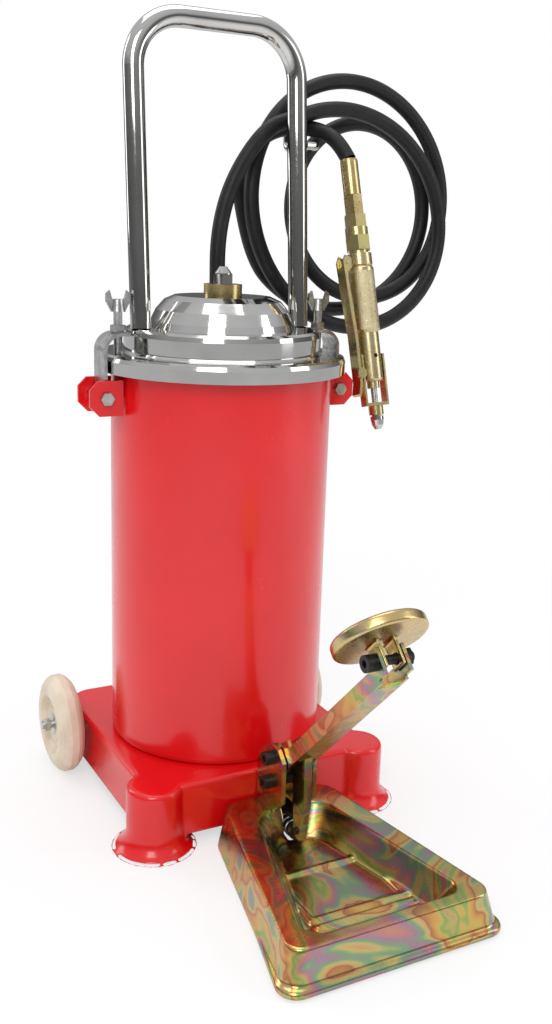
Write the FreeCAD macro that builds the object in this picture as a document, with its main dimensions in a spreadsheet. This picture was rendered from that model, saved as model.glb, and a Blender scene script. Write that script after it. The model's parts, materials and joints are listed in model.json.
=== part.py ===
import FreeCAD, Part
import math
import os
import re
import types
import Sketcher
from FreeCAD import Matrix, Placement, Rotation, Vector

# Foot operated gear oil pump: a drum on a wheeled base, a clamped lid with a push handle,
# a pedal driven plunger pump under the drum and a coiled hose with a control gun.
# Frame: Z up, Z = 0 on the ground, the drum's axis is the Z axis, the pedal is at -Y.

doc = FreeCAD.newDocument("gear_oil_pump")
sheet = doc.addObject("Spreadsheet::Sheet", "dims")

DIMENSIONS = {
    # drum and lid
    "drum_radius": 105, "drum_wall": 1.5, "drum_floor": 3, "drum_top": 434, "rim_bead": 2.5,
    "lid_radius": 117.8, "lid_sheet": 2, "lid_lip": 425, "lid_seat": 439, "plateau_radius": 93,
    "plateau_top": 463.5, "dome_radius": 70, "dome_flat": 46, "dome_top": 493,
    # base and wheels
    "base_half_x": 120, "base_front": 118, "base_rear": 128, "base_top": 62, "base_skirt": 10,
    "base_wall": 2.5, "base_corner": 26, "leg_x": 108, "leg_y": 103, "leg_radius": 26,
    "foot_radius": 40, "foot_flare": 20, "wheel_radius": 50, "wheel_width": 26, "wheel_x": 139,
    "axle_y": 80, "axle_radius": 6, "journal_radius": 4, "bearing_radius": 11,
    # tray
    "tray_front": 350, "tray_back": 119.5, "tray_height": 36, "tray_sheet": 2, "tray_half_front": 104,
    "tray_half_back": 62, "tray_draft": 8, "tray_corner": 22, "pan_floor": 8, "pan_border": 20,
    "pan_shelf": 30, "pan_front_border": 12, "bead_radius": 4,
    # pedal gear
    "mech_x": 7, "pivot_y": -147, "pivot_z": 88, "stop_y": -145, "stop_z": 63, "bolt_radius": 4,
    "cheek_gap": 28, "cheek_sheet": 4, "cheek_front": 168, "cheek_top": 100,
    "lever_width": 26, "lever_sheet": 3, "lever_length": 211, "lever_angle": 44.5, "web_offset": 17,
    "flange_depth": 14, "tongue_width": 8, "pad_radius": 40, "pad_thick": 11, "pad_offset": 14.5,
    "running": 0.06,
    # pump
    "pump_z": 17, "plunger_radius": 5, "barrel_radius": 11, "barrel_front": 100, "barrel_back": 46,
    "riser_y": 28, "riser_radius": 8, "head_face": 165.7,
    # lid clamps
    "screw_x": 104, "arm_x": 119, "arm_sheet": 3, "arm_width": 28, "arm_top": 461, "arm_bend": 17,
    "hinge_x": 121.5, "hinge_z": 403, "lug_sheet": 3, "lug_out": 137, "lug_top": 419, "lug_low": 387,
    # handle and hook
    "handle_radius": 9.5, "handle_wall": 1.2, "handle_half": 82, "handle_top": 736,
    "handle_lean": 4.8, "handle_bend": 46, "hook_radius": 4, "hook_z": 634, "hook_out": 24,
    # hose and gun
    "hose_radius": 7.5, "coil_x": 163, "coil_y": 45, "coil_z": 583, "coil_radius": 102.5,
    "coil_section": 22, "gun_x": 131.5, "gun_y": 0, "gun_z": 622, "gun_tilt": 2, "gun_lean": 14,
}
for row, (alias, value) in enumerate(DIMENSIONS.items(), start=1):
    sheet.set("A%d" % row, alias)
    sheet.set("B%d" % row, str(value))
    sheet.setAlias("B%d" % row, alias)
doc.recompute()
d = types.SimpleNamespace(**{alias: float(sheet.get(alias)) for alias in DIMENSIONS})

WORD = re.compile(r"\b(" + "|".join(DIMENSIONS) + r")\b")
TURN = {
    "z": Rotation(),
    "x": Rotation(Vector(0, 1, 0), 90),
    "y": Rotation(Vector(1, 0, 0), -90),
}
DRUM_BOLTS = ((-70, 60), (70, 60), (-70, -60), (70, -60))
kept = []


# ---------------------------------------------------------------- building helpers

def bind(obj, prop, expression):
    """Drive one property from the sheet."""
    obj.setExpression(prop, WORD.sub(r"dims.\1", str(expression)))


def place(obj, at, turn=None):
    """Put an object at a point given by three sheet expressions."""
    obj.Placement = Placement(Vector(), turn or Rotation())
    for axis, expression in zip("xyz", at):
        bind(obj, "Placement.Base." + axis, expression)
    return obj


def cylinder(radius, height, at=(0, 0, 0), axis="z"):
    obj = doc.addObject("Part::Cylinder", "cylinder")
    bind(obj, "Radius", radius)
    bind(obj, "Height", height)
    return place(obj, at, TURN[axis])


def cone(radius_1, radius_2, height, at=(0, 0, 0), axis="z"):
    obj = doc.addObject("Part::Cone", "cone")
    bind(obj, "Radius1", radius_1)
    bind(obj, "Radius2", radius_2)
    bind(obj, "Height", height)
    return place(obj, at, TURN[axis])


def box(size, at):
    obj = doc.addObject("Part::Box", "block")
    for prop, expression in zip(("Length", "Width", "Height"), size):
        bind(obj, prop, expression)
    return place(obj, at)


def hexagon(across_flats, height, at=(0, 0, 0), axis="z"):
    obj = doc.addObject("Part::Prism", "hexagon")
    obj.Polygon = 6
    bind(obj, "Circumradius", "(%s) / 1.7320508" % across_flats)
    bind(obj, "Height", height)
    return place(obj, at, TURN[axis])


def ball(radius, at=(0, 0, 0)):
    obj = doc.addObject("Part::Sphere", "ball")
    bind(obj, "Radius", radius)
    return place(obj, at)


def fuse(*shapes):
    obj = doc.addObject("Part::MultiFuse", "union")
    obj.Shapes = list(shapes)
    return obj


def cut(base, *tools):
    obj = doc.addObject("Part::Cut", "difference")
    obj.Base = base
    obj.Tool = tools[0] if len(tools) == 1 else fuse(*tools)
    return obj


def feature(shape, placement=None):
    """A shape made with Part's own functions, placed after it is set."""
    obj = doc.addObject("Part::Feature", "shape")
    obj.Shape = shape
    if placement:
        obj.Placement = placement
    return obj


def group(*shapes):
    """Separate solids kept together as one sub-part."""
    obj = doc.addObject("Part::Compound", "group")
    obj.Links = list(shapes)
    return obj


def keep(label, obj):
    """Name a finished sub-part; its label is also its file's name."""
    obj.Label = label
    kept.append(obj)
    return obj


def sketched(plane, points, at=(0, 0, 0), turn=None):
    """A body with one closed sketch whose corners are sheet expressions."""
    body = doc.addObject("PartDesign::Body", "body")
    origin_plane = next(f for f in body.Origin.OriginFeatures if f.Role == plane)
    sketch = body.newObject("Sketcher::SketchObject", "profile")
    sketch.AttachmentSupport = [(origin_plane, "")]
    sketch.MapMode = "FlatFace"
    count = len(points)
    guess = [[number(text) for text in point] for point in points]
    for i in range(count):
        start, end = guess[i], guess[(i + 1) % count]
        sketch.addGeometry(Part.LineSegment(Vector(start[0], start[1], 0), Vector(end[0], end[1], 0)))
    for i in range(count):
        sketch.addConstraint(Sketcher.Constraint("Coincident", i, 2, (i + 1) % count, 1))
    for i, point in enumerate(points):
        for kind, letter, k in (("DistanceX", "x", 0), ("DistanceY", "y", 1)):
            index = sketch.addConstraint(Sketcher.Constraint(kind, -1, 1, i, 1, guess[i][k]))
            sketch.renameConstraint(index, "%s%d" % (letter, i))
            bind(sketch, "Constraints.%s%d" % (letter, i), point[k])
    place(body, at, turn)
    return body, sketch


def number(expression):
    """The present value of a sheet expression, for a sketch's first guess."""
    probe.setExpression("Length", None)
    bind(probe, "Length", "(%s) + 5000" % expression)
    probe.recompute()
    return float(probe.Length) - 5000


probe = doc.addObject("Part::Box", "probe")


def revolved(points, axis="V_Axis", at=(0, 0, 0), turn=None):
    """A ring or solid of revolution; V_Axis turns (radius, z), H_Axis turns (x, radius)."""
    body, sketch = sketched("XZ_Plane", points, at, turn)
    turned = body.newObject("PartDesign::Revolution", "turned")
    turned.Profile = sketch
    turned.ReferenceAxis = (sketch, [axis])
    turned.Angle = 360
    return body


def padded(points, thickness, at=(0, 0, 0), plane="YZ_Plane", turn=None):
    """A flat plate: a profile pulled out along the plane's normal."""
    body, sketch = sketched(plane, points, at, turn)
    pad = body.newObject("PartDesign::Pad", "plate")
    pad.Profile = sketch
    bind(pad, "Length", thickness)
    return body


def rounded_wire(corners, radii, z):
    """A closed outline of straight sides joined by arcs, at height z."""
    count = len(corners)
    starts, ends, mids = [], [], []
    for i in range(count):
        here = Vector(corners[i][0], corners[i][1], z)
        to_last = (Vector(*corners[i - 1], z) - here).normalize()
        to_next = (Vector(*corners[(i + 1) % count], z) - here).normalize()
        half = to_last.getAngle(to_next) / 2
        reach = radii[i] / math.tan(half)
        centre = here + (to_last + to_next).normalize() * (radii[i] / math.sin(half))
        starts.append(here + to_last * reach)
        ends.append(here + to_next * reach)
        mids.append(centre + (here - centre).normalize() * radii[i])
    edges = []
    for i in range(count):
        edges.append(Part.Arc(starts[i], mids[i], ends[i]).toShape())
        edges.append(Part.LineSegment(ends[i], starts[(i + 1) % count]).toShape())
    return Part.Wire(edges)


def route_wire(points, closed_radius=None):
    """Straight runs joined by tangent arcs; returns the wire and the arcs' radii."""
    points = [Vector(*p) for p in points]
    runs = [(b - a).Length for a, b in zip(points, points[1:])]
    edges, radii = [], []
    last = points[0]
    for i in range(1, len(points) - 1):
        back = (points[i - 1] - points[i]).normalize()
        ahead = (points[i + 1] - points[i]).normalize()
        half_turn = (math.pi - back.getAngle(ahead)) / 2
        reach = 0.45 * min(runs[i - 1], runs[i])
        radius = closed_radius or reach / math.tan(half_turn)
        reach = radius * math.tan(half_turn)
        start = points[i] + back * reach
        end = points[i] + ahead * reach
        centre = points[i] + (back + ahead).normalize() * (radius / math.cos(half_turn))
        middle = centre + (points[i] - centre).normalize() * radius
        edges.append(Part.LineSegment(last, start).toShape())
        edges.append(Part.Arc(start, middle, end).toShape())
        radii.append(radius)
        last = end
    edges.append(Part.LineSegment(last, points[-1]).toShape())
    return Part.Wire(edges), radii


def rod(points, radius, closed_radius=None):
    """A round bar along a route."""
    wire, radii = route_wire(points, closed_radius)
    first = wire.OrderedEdges[0]
    start = first.valueAt(first.FirstParameter)
    direction = first.tangentAt(first.FirstParameter)
    section = Part.Wire(Part.makeCircle(radius, start, direction))
    return wire.makePipeShell([section], True, True), radii, wire.Length


def spring_shape(coil_radius, wire_radius, length, turns):
    """A coil spring along Z from the origin."""
    helix = Part.makeHelix(length / turns, length, coil_radius)
    section = Part.Wire(Part.makeCircle(wire_radius, Vector(coil_radius, 0, 0), Vector(0, 1, 0)))
    return Part.Wire(helix).makePipeShell([section], True, True)


# ---------------------------------------------------------------- base, drum and lid

def leg_solid(side, inset, top):
    """One flared front leg, thinner by inset on every face."""
    radius, foot, flare = d.leg_radius - inset, d.foot_radius - inset, d.foot_flare
    low, knee = Vector(foot, 0, 0), Vector(radius + (foot - radius) * 0.22, 0, flare * 0.42)
    edges = [
        Part.LineSegment(Vector(0, 0, 0), low).toShape(),
        Part.Arc(low, knee, Vector(radius, 0, flare)).toShape(),
        Part.LineSegment(Vector(radius, 0, flare), Vector(radius, 0, top)).toShape(),
        Part.LineSegment(Vector(radius, 0, top), Vector(0, 0, top)).toShape(),
        Part.LineSegment(Vector(0, 0, top), Vector(0, 0, 0)).toShape(),
    ]
    solid = Part.Face(Part.Wire(edges)).revolve(Vector(), Vector(0, 0, 1), 360)
    solid.translate(Vector(side * d.leg_x, -d.leg_y, 0))
    return solid


def base_block(inset, low, top):
    """The base's filled outline between two heights, thinner by inset."""
    x, front, rear = d.base_half_x - inset, d.base_front - inset, d.base_rear - inset
    corners = [(-x, -front), (x, -front), (x, rear), (-x, rear)]
    radii = [8, 8, d.base_corner - inset, d.base_corner - inset]
    face = Part.Face(rounded_wire(corners, radii, low))
    body = face.extrude(Vector(0, 0, top - low))
    return body.fuse([leg_solid(-1, inset, top), leg_solid(1, inset, top)]).removeSplitter()


def base_shape():
    outer = base_block(0, d.base_skirt, d.base_top)
    rim = [e for e in outer.Edges if all(abs(v.Z - d.base_top) < 0.01 for v in e.Vertexes)]
    outer = outer.makeFillet(5, rim)
    inner = base_block(d.base_wall, d.base_skirt - 1, d.base_top - d.base_wall)
    under = Part.makeBox(400, 400, d.base_wall, Vector(-200, -200, -d.base_wall))
    shell = outer.cut(inner.fuse(under))
    holes = [
        Part.makeCylinder(d.axle_radius + 0.3, 300, Vector(-150, d.axle_y, d.wheel_radius), Vector(1, 0, 0)),
        Part.makeCylinder(d.riser_radius + 0.5, 20, Vector(d.mech_x, d.riser_y, d.base_top - 10)),
        Part.makeCylinder(7.5, 20, Vector(d.mech_x, -40, d.base_top - 10)),
        Part.makeCylinder(10, 10, Vector(d.mech_x, -d.base_front - 5, d.pump_z), Vector(0, 1, 0)),
    ]
    holes += [Part.makeCylinder(d.bolt_radius, 20, Vector(x, y, d.base_top - 10)) for x, y in DRUM_BOLTS]
    return shell.cut(holes)


keep("base_shell", feature(base_shape()))

drum_profile = [
    ("0", "base_top"), ("drum_radius - 4", "base_top"), ("drum_radius - 1", "base_top + 1.5"),
    ("drum_radius", "base_top + 5"), ("drum_radius", "drum_top - 7"),
    ("drum_radius + rim_bead", "drum_top - 5"), ("drum_radius + rim_bead", "drum_top"),
    ("drum_radius - drum_wall", "drum_top"), ("drum_radius - drum_wall", "base_top + drum_floor"),
    ("0", "base_top + drum_floor"),
]
drum_bores = [cylinder("bolt_radius", 20, (x, y, "base_top - 5")) for x, y in DRUM_BOLTS]
drum_bores += [
    cylinder("riser_radius + 0.5", 20, ("mech_x", "riser_y", "base_top - 5")),
    cylinder("7.5", 20, ("mech_x", "-40", "base_top - 5")),
]
keep("drum", cut(revolved(drum_profile), *drum_bores))

lid_profile = [
    ("5.2", "dome_top"), ("dome_flat", "dome_top"), ("dome_flat + 9", "dome_top - 4"),
    ("dome_radius - 7", "dome_top - 13"), ("dome_radius - 2", "plateau_top + 6"),
    ("dome_radius", "plateau_top"), ("plateau_radius - 5", "plateau_top"),
    ("plateau_radius - 1", "plateau_top - 2"), ("plateau_radius", "plateau_top - 6"),
    ("plateau_radius", "lid_seat + 4"), ("plateau_radius + 2", "lid_seat + lid_sheet"),
    ("lid_radius - 5", "lid_seat + lid_sheet"), ("lid_radius - 1.5", "lid_seat + 0.5"),
    ("lid_radius", "lid_seat - 3"), ("lid_radius", "lid_lip"), ("lid_radius - lid_sheet", "lid_lip"),
    ("lid_radius - lid_sheet", "lid_seat - 4"), ("lid_radius - 6", "lid_seat"),
    ("plateau_radius - lid_sheet", "lid_seat"), ("plateau_radius - lid_sheet", "plateau_top - 5"),
    ("plateau_radius - 6", "plateau_top - lid_sheet"), ("dome_radius - 2", "plateau_top - lid_sheet"),
    ("dome_radius - 4", "plateau_top + 4"), ("dome_radius - 9", "dome_top - 14"),
    ("dome_flat + 8", "dome_top - 6"), ("dome_flat", "dome_top - lid_sheet"),
    ("5.2", "dome_top - lid_sheet"),
]
grommet_hole = cylinder("hose_radius + 2.5", 20, ("mech_x", "riser_y", "dome_top - 10"))
keep("lid", cut(revolved(lid_profile), grommet_hole))
keep("lid_gasket", cut(
    cylinder("drum_radius + rim_bead", "lid_seat - drum_top", (0, 0, "drum_top")),
    cylinder("drum_radius - 8", "lid_seat - drum_top", (0, 0, "drum_top"))))
keep("lid_disc", cut(cylinder(18, 11, (0, 0, "dome_top")), cylinder(5, 11, (0, 0, "dome_top"))))
keep("acorn_nut", cut(
    fuse(hexagon(17, 9, (0, 0, "dome_top + 11")), cylinder(8, 2, (0, 0, "dome_top + 19")),
         cone(8, 3.5, 6, (0, 0, "dome_top + 21"))),
    cylinder(5, 12, (0, 0, "dome_top + 11"))))
keep("lid_stud", fuse(
    cylinder(5, 44, (0, 0, "dome_top - 22")), cylinder(15, 3, (0, 0, "dome_top - lid_sheet - 3")),
    hexagon(17, 8, (0, 0, "dome_top - lid_sheet - 11"))))
keep("hose_grommet", cut(
    fuse(cylinder("hose_radius + 2.5", 5, ("mech_x", "riser_y", "dome_top - 3")),
         cylinder("hose_radius + 3.2", 2.5, ("mech_x", "riser_y", "dome_top"))),
    cylinder("hose_radius", 12, ("mech_x", "riser_y", "dome_top - 5"))))

# ---------------------------------------------------------------- lid clamps

lug_points = [
    ("drum_radius + 0.4", "lug_low"), ("lug_out - 9", "lug_low"), ("lug_out", "lug_low + 9"),
    ("lug_out", "lug_top - 8"), ("lug_out - 8", "lug_top"), ("drum_radius + 0.4", "lug_top"),
]


def clamp_arm():
    """The bent strap on the +X side, in the plane of its own section."""
    x_out, x_in = d.arm_x + d.arm_sheet, d.arm_x
    z_top, z_low = d.arm_top, d.arm_top - d.arm_sheet
    bend = z_top - d.arm_bend
    centre = Vector(x_out - d.arm_bend, 0, bend)
    half = Vector(math.cos(math.pi / 4), 0, math.sin(math.pi / 4))
    inner_bend = d.arm_bend - d.arm_sheet
    left = d.screw_x - 7
    edges = [
        Part.LineSegment(Vector(x_in, 0, d.hinge_z), Vector(x_out, 0, d.hinge_z)).toShape(),
        Part.LineSegment(Vector(x_out, 0, d.hinge_z), Vector(x_out, 0, bend)).toShape(),
        Part.Arc(Vector(x_out, 0, bend), centre + half * d.arm_bend,
                 Vector(centre.x, 0, z_top)).toShape(),
        Part.LineSegment(Vector(centre.x, 0, z_top), Vector(left, 0, z_top)).toShape(),
        Part.LineSegment(Vector(left, 0, z_top), Vector(left, 0, z_low)).toShape(),
        Part.LineSegment(Vector(left, 0, z_low), Vector(centre.x, 0, z_low)).toShape(),
        Part.Arc(Vector(centre.x, 0, z_low), centre + half * inner_bend,
                 Vector(x_in, 0, bend)).toShape(),
        Part.LineSegment(Vector(x_in, 0, bend), Vector(x_in, 0, d.hinge_z)).toShape(),
    ]
    strap = Part.Face(Part.Wire(edges)).extrude(Vector(0, d.arm_width, 0))
    strap.translate(Vector(0, -d.arm_width / 2, 0))
    hinge = Vector(d.hinge_x, -d.arm_width / 2, d.hinge_z)
    knuckle = Part.makeCylinder(7, d.arm_width, hinge, Vector(0, 1, 0))
    bore = Part.makeCylinder(d.bolt_radius + d.running, d.arm_width, hinge, Vector(0, 1, 0))
    screw_hole = Part.makeCylinder(5, 20, Vector(d.screw_x, 0, d.arm_top - 12))
    return strap.fuse(knuckle).cut([bore, screw_hole])


def mirrored(shape):
    flip = Matrix()
    flip.A11 = -1
    return shape.transformGeometry(flip)


for side, name in ((-1, "left"), (1, "right")):
    plates = []
    for y in ("-arm_width / 2 - 1 - lug_sheet", "arm_width / 2 + 1"):
        points = [("%d * (%s)" % (side, px), pz) for px, pz in lug_points]
        plate = padded(points, "lug_sheet", (0, "(%s) + lug_sheet" % y, 0), "XZ_Plane")
        plates.append(plate)
    hinge_at = ("%d * hinge_x" % side, "-arm_width / 2 - 9", "hinge_z")
    lug_bore = cylinder("bolt_radius", "arm_width + 18", hinge_at, "y")
    keep(name + "_lug_bracket", cut(group(*plates), lug_bore))
    pin_end = "arm_width / 2 + 1 + lug_sheet"
    keep(name + "_clamp_pin", fuse(
        cylinder("bolt_radius", "2 * (%s) + 2" % pin_end,
                 (hinge_at[0], "-(%s) - 1" % pin_end, "hinge_z"), "y"),
        hexagon(11, 4, (hinge_at[0], "-(%s) - 4" % pin_end, "hinge_z"), "y"),
        hexagon(11, 4, (hinge_at[0], pin_end, "hinge_z"), "y")))
    arm = clamp_arm()
    keep(name + "_clamp_arm", feature(arm if side > 0 else mirrored(arm)))
    screw_at = "%d * screw_x" % side
    keep(name + "_clamp_nut", cut(
        fuse(hexagon(13, 6, (screw_at, 0, "arm_top")),
             cylinder(5, "arm_sheet + 1", (screw_at, 0, "arm_top - arm_sheet"))),
        cylinder("bolt_radius + running", 30, (screw_at, 0, "arm_top - 20"))))
    wings = []
    for turn in (1, -1):
        wing = [("%d * 3" % turn, "arm_top + 20"), ("%d * 7" % turn, "arm_top + 19"),
                ("%d * 11.4" % turn, "arm_top + 27"), ("%d * 11.4" % turn, "arm_top + 34"),
                ("%d * 8" % turn, "arm_top + 37"), ("%d * 5" % turn, "arm_top + 27"),
                ("%d * 3" % turn, "arm_top + 27")]
        wings.append(padded(wing, 3, (screw_at, 1.5, 0), "XZ_Plane"))
    keep(name + "_wing_screw", fuse(
        cylinder("bolt_radius", "arm_top + 20 - lid_seat - lid_sheet - 0.3",
                 (screw_at, 0, "lid_seat + lid_sheet + 0.3")),
        cone(7, 5, 11, (screw_at, 0, "arm_top + 18")), *wings))

# ---------------------------------------------------------------- handle, hook and riser


def handle_shape():
    """A bent tube bail standing on the lid, leaning back."""
    lean = math.radians(d.handle_lean)
    foot = d.plateau_top
    top_y = math.tan(lean) * (d.handle_top - foot)
    points = [(-d.handle_half, 0, foot), (-d.handle_half, top_y, d.handle_top),
              (d.handle_half, top_y, d.handle_top), (d.handle_half, 0, foot)]
    outer = rod(points, d.handle_radius, d.handle_bend)[0]
    inner = rod(points, d.handle_radius - d.handle_wall, d.handle_bend)[0]
    trim = Part.makeBox(400, 200, 20, Vector(-200, -100, foot - 20))
    return outer.cut([inner, trim])


handle = keep("handle", feature(handle_shape()))
leg_at_hook = math.tan(math.radians(d.handle_lean)) * (d.hook_z - d.plateau_top)
hook_points = [(d.handle_half + d.handle_radius - 0.3, leg_at_hook, d.hook_z),
               (d.handle_half + d.hook_out, leg_at_hook + 2, d.hook_z),
               (d.handle_half + d.hook_out, d.coil_y + 34, d.hook_z),
               (d.handle_half + d.hook_out, d.coil_y + 37, d.hook_z + 24)]
hook_bar = rod(hook_points, d.hook_radius, 8)[0]
hook_knob = Part.makeSphere(d.hook_radius + 1, Vector(*hook_points[-1]))
keep("hose_hook", feature(hook_bar.fuse(hook_knob).cut(handle.Shape)))

keep("riser_pipe", cut(
    cylinder("riser_radius", "plateau_top - 20 - pump_z - 8", ("mech_x", "riser_y", "pump_z + 8")),
    cylinder("riser_radius - 2.5", "plateau_top", ("mech_x", "riser_y", "pump_z"))))
keep("riser_fitting", cut(
    fuse(hexagon(24, 16, ("mech_x", "riser_y", "plateau_top - 30")),
         cylinder("hose_radius + 2.5", 16, ("mech_x", "riser_y", "plateau_top - 14"))),
    cylinder("riser_radius", 10, ("mech_x", "riser_y", "plateau_top - 30")),
    cylinder("hose_radius", 16, ("mech_x", "riser_y", "plateau_top - 12")),
    cylinder(4, 40, ("mech_x", "riser_y", "plateau_top - 35"))))

# ---------------------------------------------------------------- hose

def report_route(name, shape, radii, length):
    section = math.pi * d.hose_radius ** 2
    print("%s: length %.1f, radii %s, volume / (section x length) %.3f"
          % (name, length, [round(r) for r in radii], shape.Volume / (section * length)))


lean = Rotation(Vector(1, 0, 0), -d.handle_lean)
rise_points = [(d.mech_x, d.riser_y, d.plateau_top - 12), (d.mech_x, d.riser_y, 500), (7, 29, 545),
               (17, 31, 586), (37, 33, 622), (62, 35, 650)]
drop_points = [(61, 67, 639), (80, 61, 652), (100, 48, 657), (116, 30, 653), (127, 12, 640),
               (d.gun_x, d.gun_y, d.gun_z)]
for name, points in (("hose_rise", rise_points), ("hose_drop", drop_points)):
    tube, bends, run = rod(points, d.hose_radius)
    report_route(name, tube, bends, run)
    keep(name, feature(tube))
coil = Part.makeTorus(d.coil_radius, d.coil_section, Vector(), Vector(0, 1, 0))
keep("hose_coil", feature(coil, Placement(Vector(d.coil_x, d.coil_y, d.coil_z), lean)))

# ---------------------------------------------------------------- gun on the hose's end
# Local frame: the gun's axis is local Z pointing up, s is the distance below the hose's end.

gun_turn = Rotation(Vector(1, 0, 0), -d.gun_lean) * Rotation(Vector(0, 1, 0), -d.gun_tilt)
gun_place = Placement(Vector(d.gun_x, d.gun_y, d.gun_z), gun_turn)


def on_gun(obj):
    obj.Placement = Placement(Vector(), gun_turn)
    for axis, expression in zip("xyz", ("gun_x", "gun_y", "gun_z")):
        bind(obj, "Placement.Base." + axis, expression)
    return obj


def down(s):
    return (0, 0, -s)


ferrule = [("hose_radius", "0"), ("hose_radius + 0.6", "0"), ("hose_radius + 1", "-2"), ("hose_radius + 1", "-34"), ("4", "-34"), ("4", "-30"),
           ("hose_radius", "-28")]
keep("hose_ferrule", on_gun(revolved(ferrule)))
keep("hose_nut", on_gun(cut(fuse(hexagon(17, 19, down(53.3)), cylinder(6, 6, down(58.8))),
                            cylinder(3, 40, down(60)))))
keep("gun_swivel", on_gun(cut(
    fuse(hexagon(20, 12, down(65.6)), cylinder(11, 8, down(73.6)), hexagon(22, 14, down(87.6)),
         cylinder(9, 3, down(90.6))),
    cylinder(6.06, 5.6, down(59.2)), cylinder(3, 40, down(95)))))
gun_outline = [("3", "-90.8"), ("12", "-90.8"), ("12", "-102"), ("11", "-103"), ("12.5", "-105"),
               ("12.5", "-164"), ("10.5", "-167"), ("10.5", "-212"), ("9", "-214"), ("6", "-214"),
               ("6", "-221"), ("3", "-221")]
keep("gun_body", on_gun(cut(revolved(gun_outline), cylinder(2, 40, (0, -20, -190), "y"),
                            box((5, 9, 9), (-15.5, -4.5, -103.5)))))
keep("gun_frame", on_gun(cut(
    fuse(box((2, 10, 50), (-13, -5, -238)), box((2, 10, 50), (11, -5, -238)),
         box((26, 10, 3), (-13, -5, -238))),
    cylinder(3.2, 6, (0, 0, -239)), cylinder(2, 40, (-20, 0, -195), "x"))))
keep("gun_stem", on_gun(cut(cylinder(3, 27, down(248)), cylinder(1.5, 27, down(248)))))
coupler = [("3.1", "-238.3"), ("7.2", "-238.3"), ("7.2", "-247"), ("5", "-247"), ("5", "-248"), ("3.1", "-248")]
keep("gun_coupler", on_gun(revolved(coupler)))
nozzle = [("1.5", "-248.2"), ("6.6", "-248.2"), ("6.6", "-252"), ("5.6", "-257"), ("3.4", "-261"), ("1.5", "-261")]
keep("gun_nozzle", on_gun(revolved(nozzle)))
trigger_plate = [("-14", "-95"), ("-20", "-92"), ("-23", "-98"), ("-21.5", "-130"), ("-18.8", "-170"),
                 ("-18.6", "-215"), ("-21", "-226"), ("-19", "-228"), ("-15.6", "-216"),
                 ("-15.6", "-168"), ("-18", "-130"), ("-19.5", "-109"), ("-14", "-104")]
keep("gun_trigger", on_gun(cut(padded(trigger_plate, 14, (0, 7, 0), "XZ_Plane"),
                               cylinder(1.56, 30, (-18, -15, -99), "y"),
                               box((12, 9.6, 16), (-24, -4.8, -106.5)))))
keep("gun_pins", on_gun(group(
    cylinder(1.5, 17, (-18, -8.5, -99), "y"),
    cylinder(2, 2.8, (-13.4, 0, -195), "x"), cylinder(2, 2.8, (10.6, 0, -195), "x"))))
keep("trigger_pivot_lug", on_gun(cut(box((10, 8.8, 8), (-20.5, -4.4, -103)),
                                     cylinder(1.5, 30, (-18, -15, -99), "y"))))
keep("gun_knob", on_gun(group(cylinder(5, 3.5, (-17, -10.6, -206), "y"))))

# ---------------------------------------------------------------- pump under the drum

pump_at = ("mech_x", "-barrel_front", "pump_z")
keep("pump_barrel", cut(
    fuse(cylinder("barrel_radius", "barrel_front + barrel_back", pump_at, "y"),
         cylinder("riser_radius + 4", "12", ("mech_x", "riser_y", "pump_z")),
         cylinder("9", "base_top - base_wall - pump_z", ("mech_x", "-40", "pump_z"))),
    cylinder("plunger_radius + running", "barrel_front + barrel_back - 8", pump_at, "y"),
    cylinder("riser_radius", "12", ("mech_x", "riser_y", "pump_z + 8")),
    cylinder("4", "12", ("mech_x", "riser_y", "pump_z")),
    cylinder("4", "60", ("mech_x", "-40", "pump_z")),
    cylinder("8", "7", ("mech_x", "-barrel_front", "pump_z"), "y")))
keep("plunger_seal", cut(
    cylinder("7.9", "6", ("mech_x", "-barrel_front + 0.6", "pump_z"), "y"),
    cylinder("plunger_radius + running", "6", ("mech_x", "-barrel_front + 0.6", "pump_z"), "y")))
keep("check_balls", group(ball(3.4, ("mech_x", "-40", "base_top - 18")),
                          ball(3.4, ("mech_x", "riser_y", "pump_z + 9"))))
keep("pump_plunger", cylinder("plunger_radius", "head_face - 4 - 48",
                              ("mech_x", "-head_face + 4", "pump_z"), "y"))
keep("plunger_head", cylinder(7, 4, ("mech_x", "-head_face", "pump_z"), "y"))
spring_length = d.head_face - 4 - d.barrel_front - 0.4
plunger_spring = spring_shape(6.6, 0.8, spring_length - 2, 9)
keep("plunger_spring", feature(plunger_spring, Placement(
    Vector(d.mech_x, -d.head_face + 5.2, d.pump_z), Rotation(Vector(1, 0, 0), -90))))
keep("inlet_strainer", cut(
    cylinder(20, 5, ("mech_x", "-40", "base_top + drum_floor")),
    cylinder(18, 4, ("mech_x", "-40", "base_top + drum_floor")),
    *[cylinder(1.6, 8, ("mech_x + %.2f" % (r * math.cos(a)), "-40 + %.2f" % (r * math.sin(a)),
                        "base_top + drum_floor"))
      for r, n in ((6, 6), (12, 12)) for a in [2 * math.pi * i / n for i in range(n)]]))

# ---------------------------------------------------------------- bracket, lever and pad

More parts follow.
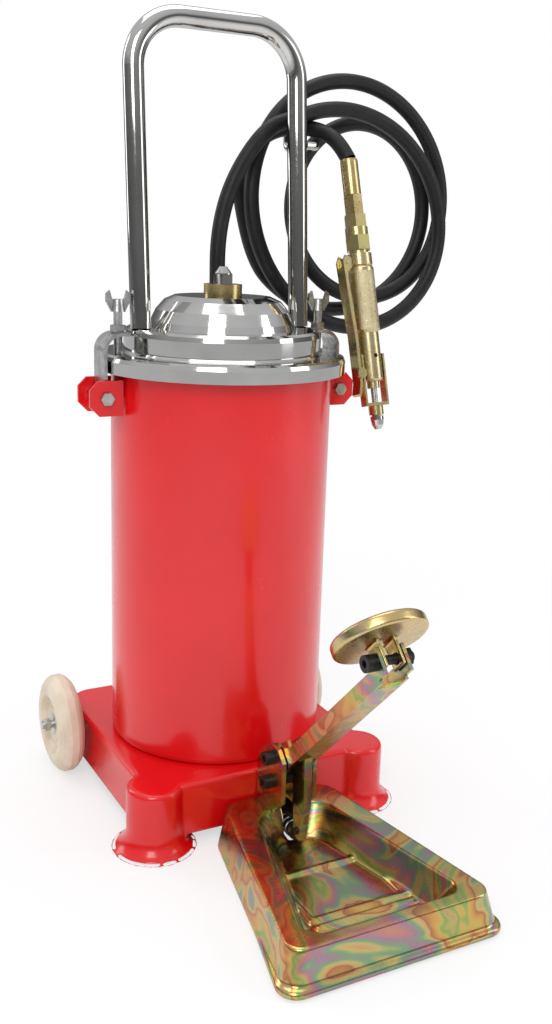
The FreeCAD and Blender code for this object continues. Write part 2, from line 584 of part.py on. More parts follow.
cheek = [("-base_front - 1.7", "tray_height"), ("-cheek_front + 14", "tray_height"),
         ("-cheek_front", "tray_height + 14"), ("-cheek_front", "cheek_top - 10"),
         ("-cheek_front + 10", "cheek_top"), ("-cheek_front + 26", "cheek_top"),
         ("-base_front - 6", "cheek_top - 14"), ("-base_front - 1.7", "cheek_top - 26")]
cheeks = [padded(cheek, "cheek_sheet", ("mech_x - cheek_gap / 2 - cheek_sheet", 0, 0)),
          padded(cheek, "cheek_sheet", ("mech_x + cheek_gap / 2", 0, 0))]
bracket_block = fuse(
    *cheeks,
    box(("cheek_gap + 2", "cheek_sheet", "34"),
        ("mech_x - cheek_gap / 2 - 1", "-base_front - 1.7 - cheek_sheet", "tray_height")),
    box(("cheek_gap + 2", "16", "cheek_sheet"),
        ("mech_x - cheek_gap / 2 - 1", "-base_front - 17.7", "tray_height")))
across = "cheek_gap + 2 * cheek_sheet"
keep("pivot_bracket", cut(
    bracket_block,
    cylinder("bolt_radius", across, ("mech_x - (%s) / 2" % across, "pivot_y", "pivot_z"), "x"),
    cylinder("bolt_radius", across, ("mech_x - (%s) / 2" % across, "stop_y", "stop_z"), "x")))


def cap_bolt(y, z, length_text, x_text):
    """A socket head bolt through the bracket, head on the -X side, nut on the +X side."""
    start = "mech_x - (%s) / 2" % x_text
    return cut(
        fuse(cylinder("bolt_radius", length_text, (start, y, z), "x"),
             cylinder(6.5, 8, ("%s - 8" % start, y, z), "x"),
             hexagon(13, 6.5, ("mech_x + (%s) / 2" % x_text, y, z), "x")),
        hexagon(6, 5, ("%s - 8" % start, y, z), "x"))


keep("pivot_bolt", cap_bolt("pivot_y", "pivot_z", across + " + 9", across))
keep("stop_bolt", fuse(
    cap_bolt("stop_y", "stop_z", across + " + 9", across),
    cylinder(5.5, "cheek_gap", ("mech_x - cheek_gap / 2", "stop_y", "stop_z"), "x")))

# Lever, about its pivot: local -Y runs along the arm to the pad's bolt, local Z is its back.
arm_turn = Rotation(Vector(1, 0, 0), -d.lever_angle)
side_plates = []
for x in ("-lever_width / 2", "lever_width / 2 - lever_sheet"):
    side_plates += [
        box(("lever_sheet", "lever_length - 8", "flange_depth"), (x, "-lever_length + 2", "-web_offset")),
        box(("lever_sheet", "34", "web_offset + 4"), (x, "-30", "-web_offset")),
        box(("lever_sheet", "22", "web_offset + 6"), (x, "-lever_length - 9", "-web_offset + 3")),
        cylinder(12, "lever_sheet", (x, 0, 0), "x"),
    ]
web = box(("lever_width", "lever_length - 42", "lever_sheet"),
          ("-lever_width / 2", "-lever_length + 14", "-web_offset"))
channel = place(fuse(web, *side_plates), (0, 0, 0), arm_turn)
tongue_points = [("8", "8"), ("-14", "13"), ("-36", "15"), ("-37", "-33"), ("-33", "-56"), ("-31", "-72"),
                 ("-19", "-72"), ("-19", "-56"), ("-17.5", "-36"), ("-15", "-14"), ("8", "-9")]
tongue = padded(tongue_points, "tongue_width", ("-tongue_width / 2", 0, 0))
pin_hole = cylinder("bolt_radius", 60, (-30, "-lever_length * cos(lever_angle)",
                                        "lever_length * sin(lever_angle)"), "x")
keep("pedal_lever", place(cut(
    fuse(channel, tongue),
    cylinder("bolt_radius + running", 60, (-30, 0, 0), "x"), pin_hole,
    cylinder(3.5, 60, (-30, -25, -65), "x")), ("mech_x", "pivot_y", "pivot_z")))
keep("lever_bushes", place(cut(
    group(cylinder(7, "lever_width / 2 - lever_sheet - tongue_width / 2",
                   ("-lever_width / 2 + lever_sheet", 0, 0), "x"),
          cylinder(7, "lever_width / 2 - lever_sheet - tongue_width / 2", ("tongue_width / 2", 0, 0), "x")),
    cylinder("bolt_radius + running", 60, (-30, 0, 0), "x")), ("mech_x", "pivot_y", "pivot_z")))
keep("tail_pin", cylinder(3.5, 11, ("mech_x - 5.5", "pivot_y - 25", "pivot_z - 65"), "x"))

pin_y = "pivot_y - lever_length * cos(lever_angle)"
pin_z = "pivot_z + lever_length * sin(lever_angle)"
keep("pad_bolt", cut(
    fuse(cylinder("bolt_radius", "lever_width + 9", ("mech_x - lever_width / 2", pin_y, pin_z), "x"),
         cylinder(7, 9, ("mech_x - lever_width / 2 - 9", pin_y, pin_z), "x"),
         hexagon(13, 6.5, ("mech_x + lever_width / 2", pin_y, pin_z), "x")),
    hexagon(6, 6, ("mech_x - lever_width / 2 - 9", pin_y, pin_z), "x")))
ears = [box((3, 18, "pad_offset + 8"), (x, -9, -8))
        for x in ("-lever_width / 2 + lever_sheet + 0.4", "lever_width / 2 - lever_sheet - 3.4")]
pad_disc = [("0", "pad_offset"), ("pad_radius - 1.5", "pad_offset"), ("pad_radius", "pad_offset + 1.5"),
            ("pad_radius", "pad_offset + pad_thick - 2"), ("pad_radius - 2", "pad_offset + pad_thick"),
            ("0", "pad_offset + pad_thick")]
pad_turn = Rotation(Vector(1, 0, 0), -45)
keep("pedal_pad", place(cut(
    fuse(revolved(pad_disc), *ears),
    cylinder("bolt_radius + running", 60, (-30, 0, 0), "x")), ("mech_x", pin_y, pin_z), pad_turn))

# ---------------------------------------------------------------- tray


def tray_outline(inset, z, back_inset=0, front_inset=0):
    """The tray's plan, a trapezoid with round corners, at one height."""
    back, front = -d.tray_back - back_inset, -d.tray_front + front_inset
    narrow, wide = d.tray_half_back - inset, d.tray_half_front - inset
    corners = [(-wide, front), (wide, front), (d.mech_x + narrow, back), (d.mech_x - narrow, back)]
    radii = [14, 14, d.tray_corner, d.tray_corner]
    return rounded_wire(corners, radii, z)


def tray_shape():
    skin, top = d.tray_sheet, d.tray_height
    outer = Part.makeLoft([tray_outline(0, 0), tray_outline(d.tray_draft, top, 0.5, d.tray_draft)], True, True)
    hollow = Part.makeLoft([tray_outline(skin, -0.01, skin, skin),
                            tray_outline(d.tray_draft + skin, top - skin, skin, d.tray_draft + skin)],
                           True, True)
    border, shelf, front = d.pan_border + d.tray_draft, d.pan_shelf, d.pan_front_border + d.tray_draft
    slope = 14

    def pan(grow, low):
        return Part.makeLoft([
            tray_outline(border + slope - grow, low, shelf + slope - grow, front + slope - grow),
            tray_outline(border - grow, top + 0.01, shelf - grow, front - grow)], True, True)

    pan_outer = pan(skin, d.pan_floor - skin)
    pan_inner = pan(0, d.pan_floor)
    tray = outer.cut(hollow).fuse(pan_outer.common(outer)).cut(pan_inner)
    ribs = [Part.makeBox(96, 5, 3, Vector(-46 + d.mech_x / 2, -y, d.pan_floor - 0.5)) for y in (216, 282, 292)]
    ribs += [Part.makeBox(5, 66, 3, Vector(x, -282, d.pan_floor - 0.5)) for x in (-44, 48)]
    z = d.bead_radius
    left = (-d.tray_half_front + 0.6, -d.tray_front + 0.6)
    right = (d.tray_half_front - 0.6, -d.tray_front + 0.6)
    back_left = (d.mech_x - d.tray_half_back + 2, -d.tray_back - 30)
    back_right = (d.mech_x + d.tray_half_back - 2, -d.tray_back - 30)
    bead_path = [(*back_left, z), (*left, z), (*right, z), (*back_right, z)]
    bead = rod(bead_path, d.bead_radius, 13)[0]
    tray = tray.fuse(ribs + [bead])
    slot = Part.makeBox(d.tongue_width + 5, 52, 60, Vector(d.mech_x - d.tongue_width / 2 - 2.5, -178, 8.5))
    hole = Part.makeCylinder(9, 62, Vector(d.mech_x, -181, d.pump_z), Vector(0, 1, 0))
    return tray.cut([slot, hole])


keep("tray", feature(tray_shape()))

# ---------------------------------------------------------------- wheels

keep("axle", group(fuse(
    cylinder("axle_radius", "2 * (wheel_x - wheel_width / 2 + 0.6)",
             ("-wheel_x + wheel_width / 2 - 0.6", "axle_y", "wheel_radius"), "x"),
    cylinder("journal_radius", "2 * (wheel_x + 21)", ("-wheel_x - 21", "axle_y", "wheel_radius"), "x"))))
wheel_profile = [
    ("-9", "bearing_radius"), ("-9", "17"), ("-7", "19"), ("-7", "27"), ("-wheel_width / 2", "30"),
    ("-wheel_width / 2", "wheel_radius - 12"), ("-wheel_width / 2 + 2.2", "wheel_radius - 6"),
    ("-wheel_width / 2 + 6", "wheel_radius - 1.8"), ("-3.5", "wheel_radius"), ("3.5", "wheel_radius"),
    ("wheel_width / 2 - 6", "wheel_radius - 1.8"), ("wheel_width / 2 - 2.2", "wheel_radius - 6"),
    ("wheel_width / 2", "wheel_radius - 12"), ("wheel_width / 2", "30"), ("7", "27"), ("7", "19"),
    ("9", "17"), ("9", "bearing_radius"),
]
for side, name in ((-1, "left"), (1, "right")):
    hub = "%d * wheel_x" % side
    keep(name + "_wheel", revolved(wheel_profile, "H_Axis", (hub, "axle_y", "wheel_radius")))
    rings = []
    for x in ("-9.5", "2.5"):
        at = ("%s + (%s)" % (hub, x), "axle_y", "wheel_radius")
        rings.append(cut(cylinder("bearing_radius", 7, at, "x"),
                         cylinder("journal_radius + running", 7, at, "x")))
    keep(name + "_wheel_bearings", group(*rings))
nuts = []
for start in ("-wheel_x - wheel_width / 2 - 6", "wheel_x + wheel_width / 2"):
    at = (start, "axle_y", "wheel_radius")
    nuts.append(cut(hexagon(13, 6, at, "x"), cylinder("journal_radius", 6, at, "x")))
keep("axle_nuts", group(*nuts))

screws = []
for x, y in DRUM_BOLTS:
    screws.append(fuse(cylinder("bolt_radius", "base_wall + drum_floor", (x, y, "base_top - base_wall")),
                       cylinder(7, 3, (x, y, "base_top + drum_floor")),
                       hexagon(13, 6, (x, y, "base_top - base_wall - 6"))))
keep("drum_bolts", group(*screws))

# ---------------------------------------------------------------- check and write

doc.removeObject(probe.Name)
doc.recompute()
faults = [o.Name for o in doc.Objects if {"Invalid", "Error"} & set(o.State)]
faults += [o.Label for o in kept if o.Shape.isNull() or not o.Shape.isValid() or not o.Shape.Solids]
if faults:
    raise RuntimeError("failed objects: " + ", ".join(faults))
os.makedirs("parts", exist_ok=True)
for sub_part in kept:
    sub_part.Shape.exportStep("parts/%s.step" % sub_part.Label)
print(len(kept), "sub-parts")
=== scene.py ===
import json
import math

import bpy
from mathutils import Matrix, Quaternion, Vector


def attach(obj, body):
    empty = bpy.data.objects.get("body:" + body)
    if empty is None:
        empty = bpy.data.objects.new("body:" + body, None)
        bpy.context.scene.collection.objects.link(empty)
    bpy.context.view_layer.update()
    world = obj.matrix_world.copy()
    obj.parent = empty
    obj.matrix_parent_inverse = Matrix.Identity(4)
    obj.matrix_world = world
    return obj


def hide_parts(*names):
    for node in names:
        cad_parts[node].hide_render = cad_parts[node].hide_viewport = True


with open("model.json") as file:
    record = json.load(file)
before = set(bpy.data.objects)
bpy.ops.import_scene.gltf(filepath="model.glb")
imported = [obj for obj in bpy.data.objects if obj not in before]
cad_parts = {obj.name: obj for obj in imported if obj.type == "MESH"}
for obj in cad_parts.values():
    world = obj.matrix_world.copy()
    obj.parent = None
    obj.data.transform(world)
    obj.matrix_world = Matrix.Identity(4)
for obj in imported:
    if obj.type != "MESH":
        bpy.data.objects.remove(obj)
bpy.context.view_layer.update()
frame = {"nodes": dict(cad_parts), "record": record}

# Foot operated gear oil pump. Metres, Z up, the drum's axis is the Z axis, the pedal is at -Y.

NODES = frame["nodes"]
MM = 0.001


# ---------------------------------------------------------------- camera

CAMERA_AT = Vector((-0.45202, -0.96136, 0.5563))
CAMERA_FORWARD = Vector((0.4583, 0.8535, -0.24799))
CAMERA_ROLL = 0.032
CAMERA_LENS = 38.99


def add_camera():
    data = bpy.data.cameras.new("camera")
    data.lens = CAMERA_LENS
    data.sensor_width = 36.0
    data.clip_start = 0.05
    camera = bpy.data.objects.new("camera", data)
    bpy.context.scene.collection.objects.link(camera)
    look = CAMERA_FORWARD.to_track_quat("-Z", "Y")
    camera.matrix_world = Matrix.Translation(CAMERA_AT) @ (
        look @ Quaternion((0, 0, 1), CAMERA_ROLL)).to_matrix().to_4x4()
    bpy.context.scene.camera = camera


add_camera()


# ---------------------------------------------------------------- node materials

class Shader:
    """A material made of nodes, with short helpers for the usual links."""

    def __init__(self, name):
        self.material = bpy.data.materials.new(name)
        self.material.use_nodes = True
        self.tree = self.material.node_tree
        self.tree.nodes.clear()
        self.out = self.tree.nodes.new("ShaderNodeOutputMaterial")
        self.surface = self.tree.nodes.new("ShaderNodeBsdfPrincipled")
        self.tree.links.new(self.surface.outputs[0], self.out.inputs["Surface"])
        self.coordinates = self.tree.nodes.new("ShaderNodeTexCoord")

    def node(self, kind, **settings):
        made = self.tree.nodes.new("ShaderNode" + kind)
        for key, value in settings.items():
            setattr(made, key, value)
        return made

    def link(self, source, target):
        self.tree.links.new(source, target)
        return target

    def set(self, **values):
        for key, value in values.items():
            self.surface.inputs[key.replace("_", " ")].default_value = value
        return self

    def mapped(self, scale=(1, 1, 1), turn=(0, 0, 0), shift=(0, 0, 0), source="Object"):
        mapping = self.node("Mapping")
        mapping.inputs["Scale"].default_value = scale
        mapping.inputs["Rotation"].default_value = turn
        mapping.inputs["Location"].default_value = shift
        self.link(self.coordinates.outputs[source], mapping.inputs["Vector"])
        return mapping.outputs[0]

    def noise(self, scale, detail=3.0, vector=None, distortion=0.0):
        noise = self.node("TexNoise")
        noise.inputs["Scale"].default_value = scale
        noise.inputs["Detail"].default_value = detail
        noise.inputs["Distortion"].default_value = distortion
        self.link(vector or self.coordinates.outputs["Object"], noise.inputs["Vector"])
        return noise.outputs["Fac"]

    def wave(self, scale, vector=None, axis="X", distortion=0.0, profile="SIN"):
        wave = self.node("TexWave", bands_direction=axis, wave_profile=profile)
        wave.inputs["Scale"].default_value = scale
        wave.inputs["Distortion"].default_value = distortion
        self.link(vector or self.coordinates.outputs["Object"], wave.inputs["Vector"])
        return wave.outputs["Fac"]

    def ramp(self, source, stops, smooth="LINEAR"):
        ramp = self.node("ValToRGB")
        ramp.color_ramp.interpolation = smooth
        elements = ramp.color_ramp.elements
        while len(elements) < len(stops):
            elements.new(0.5)
        for element, (position, colour) in zip(elements, stops):
            element.position = position
            element.color = (*colour, 1)
        self.link(source, ramp.inputs[0])
        return ramp.outputs[0]

    def range(self, source, low, high, start=0.0, end=1.0):
        """Map a 0 to 1 value on to low..high."""
        made = self.node("MapRange")
        made.inputs["From Min"].default_value = start
        made.inputs["From Max"].default_value = end
        made.inputs["To Min"].default_value = low
        made.inputs["To Max"].default_value = high
        self.link(source, made.inputs["Value"])
        return made.outputs[0]

    def math(self, operation, first, second=None):
        made = self.node("Math", operation=operation)
        for socket, value in zip(made.inputs, (first, second)):
            if isinstance(value, (int, float)):
                socket.default_value = value
            elif value is not None:
                self.link(value, socket)
        return made.outputs[0]

    def mix(self, factor, first, second):
        made = self.node("Mix", data_type="RGBA")
        for socket, value in ((made.inputs[0], factor), (made.inputs[6], first), (made.inputs[7], second)):
            if isinstance(value, (int, float)):
                socket.default_value = value
            elif isinstance(value, tuple):
                socket.default_value = (*value, 1)
            else:
                self.link(value, socket)
        return made.outputs[2]

    def bump(self, height, strength, distance):
        made = self.node("Bump")
        made.inputs["Strength"].default_value = strength
        made.inputs["Distance"].default_value = distance
        self.link(height, made.inputs["Height"])
        self.link(made.outputs[0], self.surface.inputs["Normal"])

    def colour(self, source):
        self.link(source, self.surface.inputs["Base Color"])

    def rough(self, source):
        self.link(source, self.surface.inputs["Roughness"])


def red_paint():
    """Glossy powder coat: even red, faint orange peel and dust."""
    s = Shader("red_paint").set(Roughness=0.25, Coat_Weight=0.35, Coat_Roughness=0.08)
    s.colour(s.ramp(s.noise(9, 4), [(0.3, (0.70, 0.002, 0.004)), (0.7, (0.80, 0.004, 0.007))]))
    s.rough(s.range(s.noise(35, 5), 0.16, 0.32))
    s.bump(s.noise(420, 2), 0.06, 0.0004)
    return s.material


def chrome():
    """Bright plate with faint polishing haze and long shallow ripples."""
    s = Shader("chrome").set(Metallic=1.0)
    s.colour(s.ramp(s.noise(14, 4), [(0.35, (0.50, 0.49, 0.47)), (0.65, (0.62, 0.61, 0.59))]))
    s.rough(s.range(s.noise(60, 6, s.mapped((1, 1, 5))), 0.035, 0.12))
    s.bump(s.noise(11, 2), 0.12, 0.003)
    return s.material


def zinc_steel():
    """Bright zinc plate on bolts, straps and bearings."""
    s = Shader("zinc_steel").set(Metallic=1.0)
    s.colour(s.ramp(s.noise(160, 5), [(0.3, (0.38, 0.38, 0.37)), (0.7, (0.66, 0.66, 0.64))]))
    s.rough(s.range(s.noise(240, 5), 0.2, 0.42))
    s.bump(s.noise(900, 3), 0.12, 0.0002)
    return s.material


CHROMATE = [
    (0.0, (0.34, 0.11, 0.06)), (0.14, (0.62, 0.31, 0.09)), (0.26, (0.55, 0.42, 0.11)),
    (0.38, (0.20, 0.36, 0.10)), (0.5, (0.47, 0.39, 0.13)), (0.6, (0.52, 0.19, 0.20)),
    (0.7, (0.33, 0.19, 0.30)), (0.8, (0.14, 0.34, 0.20)), (0.9, (0.52, 0.44, 0.16)),
    (1.0, (0.60, 0.30, 0.14)),
]


def chromate(name, spread, turns, rough_low, rough_high, tint):
    """Iridescent yellow chromate on zinc: the film's thickness drifts through gold, green and pink."""
    s = Shader(name).set(Metallic=1.0)
    drift = s.noise(spread, 3, s.mapped((1, 1, 1.6)), 0.7)
    bands = s.math("FRACT", s.math("MULTIPLY", drift, turns))
    film = s.ramp(bands, CHROMATE)
    s.colour(s.mix(tint, film, (0.62, 0.5, 0.25)))
    s.rough(s.range(s.noise(80, 5), rough_low, rough_high))
    s.bump(s.noise(700, 3), 0.08, 0.0002)
    return s.material


KNURL_LOW, KNURL_HIGH = 0.462, 0.520


def knurl():
    """Fine diamond knurling on the gun's sleeve, smooth satin gold below and above it."""
    s = Shader("knurl").set(Metallic=1.0)
    along = s.wave(330, s.mapped((1, 0.4, 0.9)), "DIAGONAL")
    across = s.wave(330, s.mapped((-1, 0.4, 0.9)), "DIAGONAL")
    cuts = s.math("MULTIPLY", along, across)
    place = s.node("SeparateXYZ")
    s.link(s.coordinates.outputs["Object"], place.inputs[0])
    above = s.math("GREATER_THAN", place.outputs[2], KNURL_LOW)
    below = s.math("LESS_THAN", place.outputs[2], KNURL_HIGH)
    sleeve = s.math("MULTIPLY", above, below)
    cut = s.math("MULTIPLY", cuts, sleeve)
    plain = s.ramp(s.noise(30, 5), [(0.3, (0.50, 0.41, 0.22)), (0.7, (0.66, 0.57, 0.34))])
    s.colour(s.mix(cut, plain, (0.74, 0.67, 0.46)))
    s.rough(s.range(s.noise(300, 3), 0.2, 0.38))
    s.bump(cut, 0.6, 0.0005)
    return s.material


def brass():
    s = Shader("brass").set(Metallic=1.0)
    s.colour(s.ramp(s.noise(45, 5), [(0.3, (0.42, 0.31, 0.12)), (0.7, (0.68, 0.55, 0.28))]))
    s.rough(s.range(s.noise(120, 5, s.mapped((1, 1, 6))), 0.16, 0.36))
    s.bump(s.noise(500, 3), 0.1, 0.0002)
    return s.material


def black_oxide():
    s = Shader("black_oxide").set(Metallic=0.6)
    s.colour(s.ramp(s.noise(200, 4), [(0.3, (0.012, 0.012, 0.013)), (0.75, (0.045, 0.044, 0.042))]))
    s.rough(s.range(s.noise(260, 4), 0.28, 0.5))
    s.bump(s.noise(900, 3), 0.15, 0.0002)
    return s.material


def rubber(name, low, high, wrap):
    """Black rubber; a wrapped hose keeps the fine marks of its cloth."""
    s = Shader(name).set(Specular_IOR_Level=0.32)
    s.colour(s.ramp(s.noise(70, 5), [(0.3, low), (0.75, high)]))
    s.rough(s.range(s.noise(150, 4), 0.36, 0.56))
    if wrap:
        weave = s.wave(1, s.mapped((2600, 22, 1), source="UV"), "X")
        turn = s.wave(1, s.mapped((190, 3.1416, 1), source="UV"), "DIAGONAL")
        s.bump(s.math("ADD", s.math("MULTIPLY", weave, 0.3), turn), 0.14, 0.0004)
    else:
        s.bump(s.noise(500, 3), 0.2, 0.0003)
    return s.material


def wheel_plastic():
    """Cream moulded nylon with a faint mottled stain all over."""
    s = Shader("wheel_plastic").set(Subsurface_Weight=0.08, Subsurface_Radius=(0.004, 0.003, 0.002))
    stain = s.ramp(s.noise(38, 6), [(0.35, (0.70, 0.58, 0.43)), (0.62, (0.80, 0.70, 0.55))])
    s.colour(stain)
    s.rough(s.range(s.noise(90, 4), 0.34, 0.52))
    s.bump(s.noise(350, 4), 0.15, 0.0004)
    return s.material


def cast_iron():
    s = Shader("cast_iron").set(Metallic=0.8)
    s.colour(s.ramp(s.noise(120, 5), [(0.3, (0.05, 0.05, 0.05)), (0.7, (0.13, 0.125, 0.12))]))
    s.rough(s.range(s.noise(200, 5), 0.45, 0.7))
    s.bump(s.noise(420, 5), 0.4, 0.0006)
    return s.material


MATERIALS = {
    "red_paint": red_paint(),
    "chrome": chrome(),
    "zinc_yellow": chromate("zinc_yellow", 9.0, 5.0, 0.16, 0.34, 0.15),
    "zinc_gold": chromate("zinc_gold", 16.0, 3.0, 0.2, 0.36, 0.72),
    "steel": zinc_steel(),
    "knurl": knurl(),
    "brass": brass(),
    "black_oxide": black_oxide(),
    "hose_rubber": rubber("hose_rubber", (0.005, 0.005, 0.0055), (0.012, 0.012, 0.0125), True),
    "seal_rubber": rubber("seal_rubber", (0.012, 0.012, 0.012), (0.03, 0.03, 0.03), False),
    "wheel_plastic": wheel_plastic(),
    "cast_iron": cast_iron(),
}

SPECIAL = {"gun_body": "knurl"}
GOLD = ("gun_swivel", "gun_coupler", "gun_trigger", "gun_frame", "trigger_pivot_lug", "gun_knob", "pedal_pad")


def smooth_by_angle(mesh, degrees=32):
    """Smooth shading with the edges sharper than the angle kept crisp."""
    mesh.polygons.foreach_set("use_smooth", [True] * len(mesh.polygons))
    mesh.set_sharp_from_angle(angle=math.radians(degrees))


def dress_cad_nodes():
    slots = {row["node"]: row["material_slot"] for row in frame["record"]["subparts"]}
    for name, obj in NODES.items():
        key = SPECIAL.get(name) or ("zinc_gold" if name in GOLD else slots[name])
        obj.data.materials.clear()
        obj.data.materials.append(MATERIALS[key])


# Stamped and moulded nodes: voxel size in metres and rounds of smoothing that soften their edges.
SOFTENED = {"tray": (0.0011, 14), "base_shell": (0.0014, 10), "pedal_pad": (0.001, 6)}


def soften_stampings():
    """Round the pressed edges of sheet metal the way a die leaves them."""
    for name, (voxel, rounds) in SOFTENED.items():
        remesh = NODES[name].modifiers.new("remesh", "REMESH")
        remesh.mode = "VOXEL"
        remesh.voxel_size = voxel
        remesh.use_smooth_shade = True
        smooth = NODES[name].modifiers.new("smooth", "SMOOTH")
        smooth.factor = 0.5
        smooth.iterations = rounds


def add_piece(name, vertices, faces, material, body, replaced=(), uvs=None):
    """Link one mesh piece, smooth it, and let it ride on its body."""
    mesh = bpy.data.meshes.new(name)
    mesh.from_pydata(vertices, [], faces)
    mesh.validate()
    mesh.materials.append(MATERIALS[material])
    if uvs:
        layer = mesh.uv_layers.new(name="UVMap")
        for loop in mesh.loops:
            layer.data[loop.index].uv = uvs[loop.vertex_index]
    smooth_by_angle(mesh)
    piece = bpy.data.objects.new(name, mesh)
    bpy.context.scene.collection.objects.link(piece)
    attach(piece, body)
    if replaced:
        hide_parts(*replaced)
    return piece


# ---------------------------------------------------------------- hose

HOSE_DIAMETER = 0.015
RISE_ROUTE = [(7, 28, 451.5), (7, 28, 500), (7, 29, 545), (17, 31, 586), (37, 33, 622), (62, 35, 650)]
DROP_ROUTE = [(50, 75, 592), (54, 75, 616), (65, 73, 636), (81, 66, 649), (99, 53, 654), (115, 34, 651),
              (127, 14, 641), (131.5, 0, 622)]
# Each loose turn: centre X, centre Z, radius, depth along Y at the ring's middle height.
COIL_LOOPS = [(143, 556, 117, 30), (169, 586, 120, 46), (186, 577, 84, 61), (160, 580, 110, 76)]
COIL_STEPS = 16
COIL_START = math.radians(118)
COIL_END = math.radians(190)
COIL_LEAN = math.tan(math.radians(4.8))


def coil_route():
    """Three loose turns, each drifting from one loop's size and place to the next."""
    sweep = 3 * 2 * math.pi + COIL_START - COIL_END
    steps = 3 * COIL_STEPS
    points = []
    for i in range(steps):
        share = i / steps * 3
        loop = min(int(share), 2)
        blend = share - loop
        blend = blend * blend * (3 - 2 * blend)
        x, z, radius, depth = (a + (b - a) * blend for a, b in zip(COIL_LOOPS[loop], COIL_LOOPS[loop + 1]))
        angle = COIL_START - sweep * i / steps
        high = z + radius * math.sin(angle)
        points.append((x + radius * math.cos(angle), depth + (high - 583) * COIL_LEAN, high))
    return points


def spline_points(points):
    """The smooth line that a curve of those control points follows."""
    curve = bpy.data.curves.new("route", "CURVE")
    curve.dimensions = "3D"
    curve.resolution_u = 10
    spline = curve.splines.new("NURBS")
    spline.points.add(len(points) - 1)
    for point, place in zip(spline.points, points):
        point.co = (*(c * MM for c in place), 1)
    spline.order_u = 3
    spline.use_endpoint_u = True
    holder = bpy.data.objects.new("route", curve)
    bpy.context.scene.collection.objects.link(holder)
    bpy.context.view_layer.update()
    mesh = bpy.data.meshes.new_from_object(holder)
    line = [v.co.copy() for v in mesh.vertices]
    bpy.data.meshes.remove(mesh)
    bpy.data.objects.remove(holder)
    bpy.data.curves.remove(curve)
    return line


def tube(line, radius, sides=20):
    """Vertices, faces and UVs (metres along, share around) of a round tube along a line."""
    vertices, uvs, faces = [], [], []
    tangent = (line[1] - line[0]).normalized()
    normal = tangent.orthogonal().normalized()
    travelled = 0.0
    for i, point in enumerate(line):
        ahead = (line[min(i + 1, len(line) - 1)] - line[max(i - 1, 0)]).normalized()
        normal = (normal - ahead * normal.dot(ahead)).normalized()
        binormal = ahead.cross(normal)
        travelled += (point - line[max(i - 1, 0)]).length
        for k in range(sides + 1):
            angle = 2 * math.pi * k / sides
            vertices.append(point + (normal * math.cos(angle) + binormal * math.sin(angle)) * radius)
            uvs.append((travelled, k / sides))
    ring = sides + 1
    for i in range(len(line) - 1):
        for k in range(sides):
            a = i * ring + k
            faces.append((a, a + 1, a + ring + 1, a + ring))
    return vertices, faces, uvs


def add_hose():
    line = spline_points(RISE_ROUTE + coil_route() + DROP_ROUTE)
    vertices, faces, uvs = tube(line, HOSE_DIAMETER / 2)
    hose = add_piece("delivery_hose", vertices, faces, "hose_rubber", "root",
                     ("hose_rise", "hose_coil", "hose_drop"), uvs)


add_hose()
dress_cad_nodes()
soften_stampings()


# ---------------------------------------------------------------- floor, light and backdrop

SHADOW_REACH = (0.32, 0.95)
FLOOR_Z = -0.0004


def stage_material(name, colour):
    """Pale floor that keeps the object's shadow close in and turns plain white to the camera further out."""
    s = Shader(name).set(Roughness=0.9)
    s.colour(s.ramp(s.noise(3, 2), [(0.3, colour), (0.7, tuple(min(c * 1.01, 1) for c in colour))]))
    white = s.node("Emission")
    white.inputs["Strength"].default_value = 1.0
    blend = s.node("MixShader")
    path = s.node("LightPath")
    distance = s.node("VectorMath", operation="LENGTH")
    s.link(s.coordinates.outputs["Object"], distance.inputs[0])
    far = s.range(distance.outputs["Value"], 0.62, 1.0, *SHADOW_REACH)
    s.link(s.math("MULTIPLY", far, path.outputs["Is Camera Ray"]), blend.inputs[0])
    s.link(s.surface.outputs[0], blend.inputs[1])
    s.link(white.outputs[0], blend.inputs[2])
    s.link(blend.outputs[0], s.out.inputs["Surface"])
    return s.material


def add_floor():
    mesh = bpy.data.meshes.new("floor")
    reach = 6.0
    mesh.from_pydata([(-reach, -reach, FLOOR_Z), (reach, -reach, FLOOR_Z), (reach, reach, FLOOR_Z), (-reach, reach, FLOOR_Z)],
                     [], [(0, 1, 2, 3)])
    mesh.materials.append(stage_material("floor", (0.93, 0.93, 0.93)))
    floor = bpy.data.objects.new("floor", mesh)
    bpy.context.scene.collection.objects.link(floor)


def add_lamp(name, at, aim, size, power, colour=(1, 1, 1)):
    data = bpy.data.lights.new(name, "AREA")
    data.shape = "RECTANGLE"
    data.size, data.size_y = size
    data.energy = power
    data.color = colour
    lamp = bpy.data.objects.new(name, data)
    lamp.location = at
    lamp.rotation_mode = "QUATERNION"
    lamp.rotation_quaternion = (Vector(aim) - Vector(at)).to_track_quat("-Z", "Y")
    bpy.context.scene.collection.objects.link(lamp)


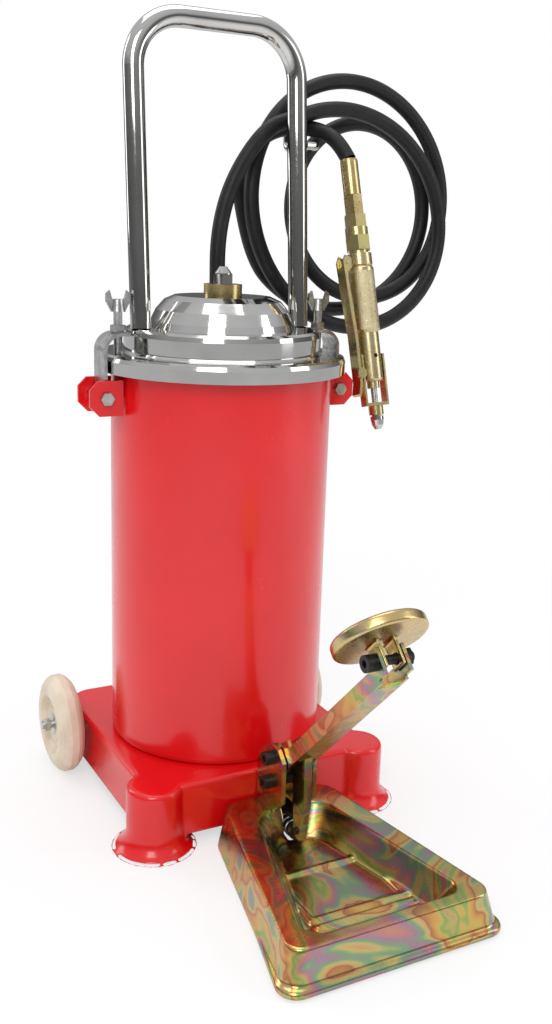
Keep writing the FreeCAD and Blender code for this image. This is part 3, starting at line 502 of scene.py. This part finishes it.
# Share of the way from straight down to straight up, and the light that comes from there.
SKY = [(0.0, (0.30, 0.30, 0.30)), (0.47, (0.26, 0.26, 0.26)), (0.52, (0.11, 0.11, 0.115)),
       (0.60, (0.20, 0.20, 0.205)), (0.72, (0.62, 0.63, 0.65)), (1.0, (0.75, 0.76, 0.78))]


def add_world():
    """White to the camera; on the object a soft studio with a dark band at eye level, as chrome shows."""
    world = bpy.data.worlds.new("studio")
    world.use_nodes = True
    tree = world.node_tree
    tree.nodes.clear()
    out = tree.nodes.new("ShaderNodeOutputWorld")
    pick = tree.nodes.new("ShaderNodeMixShader")
    lit = tree.nodes.new("ShaderNodeBackground")
    seen = tree.nodes.new("ShaderNodeBackground")
    path = tree.nodes.new("ShaderNodeLightPath")
    either = tree.nodes.new("ShaderNodeMath")
    either.operation = "MAXIMUM"
    direction = tree.nodes.new("ShaderNodeTexCoord")
    split = tree.nodes.new("ShaderNodeSeparateXYZ")
    share = tree.nodes.new("ShaderNodeMapRange")
    share.inputs["From Min"].default_value = -1.0
    sky = tree.nodes.new("ShaderNodeValToRGB")
    elements = sky.color_ramp.elements
    while len(elements) < len(SKY):
        elements.new(0.5)
    for element, (position, colour) in zip(elements, SKY):
        element.position = position
        element.color = (*colour, 1)
    seen.inputs["Color"].default_value = (1, 1, 1, 1)
    for source, target in (
            (direction.outputs["Generated"], split.inputs[0]), (split.outputs[2], share.inputs["Value"]),
            (share.outputs[0], sky.inputs[0]), (sky.outputs[0], lit.inputs["Color"]),
            (path.outputs["Is Camera Ray"], either.inputs[0]),
            (path.outputs["Is Transmission Ray"], either.inputs[1]), (either.outputs[0], pick.inputs[0]),
            (lit.outputs[0], pick.inputs[1]), (seen.outputs[0], pick.inputs[2]),
            (pick.outputs[0], out.inputs["Surface"])):
        tree.links.new(source, target)
    bpy.context.scene.world = world


add_floor()
add_world()
add_lamp("key", (-1.1, -1.6, 1.7), (0, 0, 0.3), (0.9, 1.3), 19)
add_lamp("fill", (1.7, -1.2, 1.0), (0, 0, 0.3), (0.7, 1.6), 9)
add_lamp("top", (0.1, 0.3, 2.2), (0, 0, 0.3), (1.4, 1.4), 12)
add_lamp("back", (-1.2, 1.5, 1.2), (0, 0, 0.4), (0.6, 1.4), 7)

bpy.context.scene.view_settings.view_transform = "Standard"
